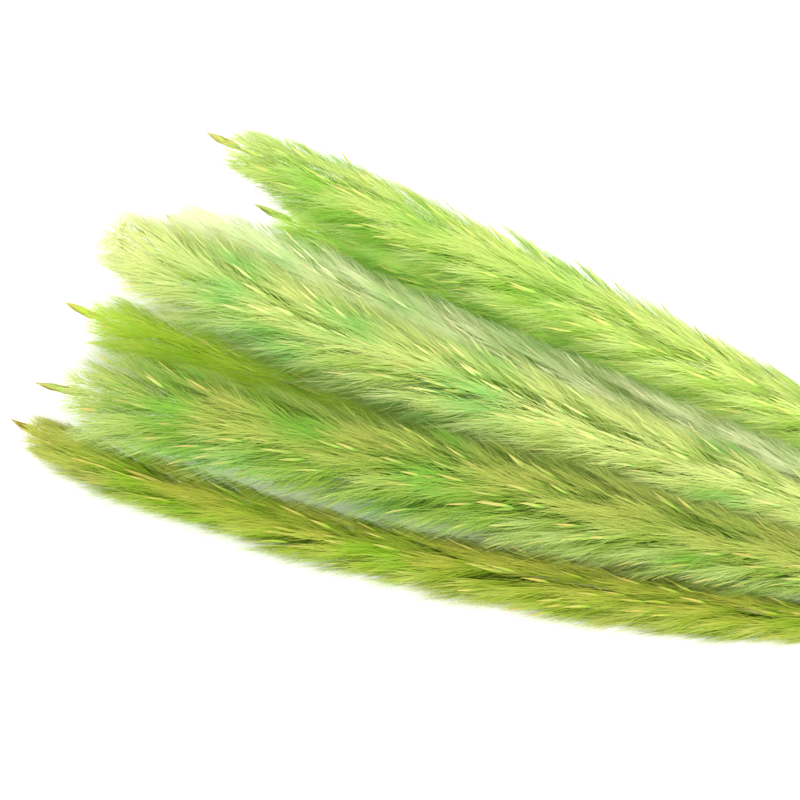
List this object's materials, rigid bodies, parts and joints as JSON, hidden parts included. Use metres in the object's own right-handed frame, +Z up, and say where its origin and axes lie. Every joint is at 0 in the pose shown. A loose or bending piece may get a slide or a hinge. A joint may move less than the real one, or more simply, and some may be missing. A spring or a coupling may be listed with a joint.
{
  "type": "bunch of dried reed plumes",
  "caption": "Tied bunch of dried, dyed reeds lying on its side: bare canes gathered by twine, and long fluffy plumes that fan out in two layers.",
  "frame": {"origin": "centre of the bunch's box, on the surface that it lies on", "axes": "+X along the bunch from the plume tips to the cut ends, +Y across it, +Z up from the surface"},
  "size_m": [0.6012, 0.14, 0.0611],
  "materials": {
    "lime_plume": "soft silky plant hair, dyed",
    "green_plume": "soft silky plant hair, dyed",
    "sage_plume": "soft silky plant hair, dyed",
    "mint_plume": "soft silky plant hair, dyed",
    "olive_plume": "soft silky plant hair, dyed",
    "yellow_green_plume": "soft silky plant hair, dyed",
    "olive_yellow_plume": "soft silky plant hair, dyed",
    "cane": "dry, smooth, slightly glossy cane with fine lengthwise lines",
    "twine": "rough jute fibre"
  },
  "bodies": {
    "root": {"reed_01_plume": "lime_plume", "reed_01_stem": "cane", "reed_02_plume": "green_plume", "reed_02_stem": "cane", "reed_03_plume": "sage_plume", "reed_03_stem": "cane", "reed_04_plume": "mint_plume", "reed_04_stem": "cane", "reed_05_plume": "olive_plume", "reed_05_stem": "cane", "reed_06_plume": "yellow_green_plume", "reed_06_stem": "cane", "reed_07_plume": "olive_yellow_plume", "reed_07_stem": "cane", "twine_tie": "twine"}
  },
  "joints": []
}
